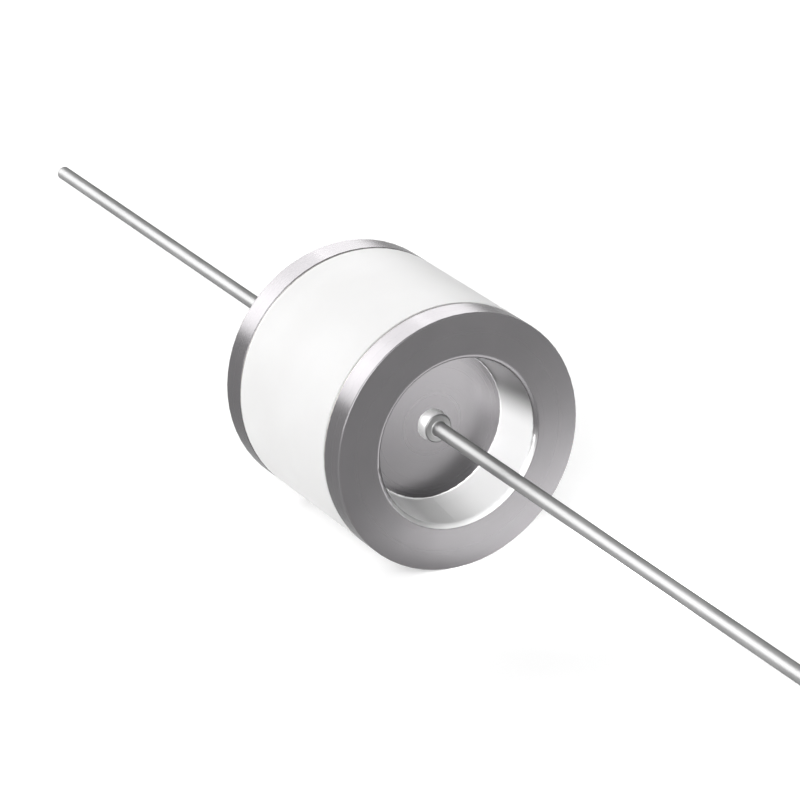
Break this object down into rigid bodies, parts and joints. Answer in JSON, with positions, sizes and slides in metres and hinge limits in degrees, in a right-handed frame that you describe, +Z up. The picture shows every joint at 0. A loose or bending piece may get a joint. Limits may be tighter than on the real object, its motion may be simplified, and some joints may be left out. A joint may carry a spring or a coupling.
{
  "type": "gas discharge tube",
  "caption": "Cylindrical surge arrester: a white ceramic tube closed by flush metal electrodes with round end recesses, and a thin axial wire lead from each end.",
  "frame": {"origin": "middle of the body on the tube's axis", "axes": "+X along the tube's axis towards the front lead, +Z up"},
  "size_m": [0.048, 0.008, 0.008],
  "materials": {
    "alumina": "satin",
    "electrode_metal": "satin",
    "braze": "satin",
    "emission_coating": "matte",
    "graphite": "matte",
    "tinned_wire": "satin"
  },
  "bodies": {
    "root": {"ceramic_tube": "alumina", "front_electrode": "electrode_metal", "rear_electrode": "electrode_metal", "front_braze_ring": "braze", "rear_braze_ring": "braze", "front_emission_coating": "emission_coating", "rear_emission_coating": "emission_coating", "ignition_stripes": "graphite", "front_lead": "tinned_wire", "rear_lead": "tinned_wire"}
  },
  "joints": []
}
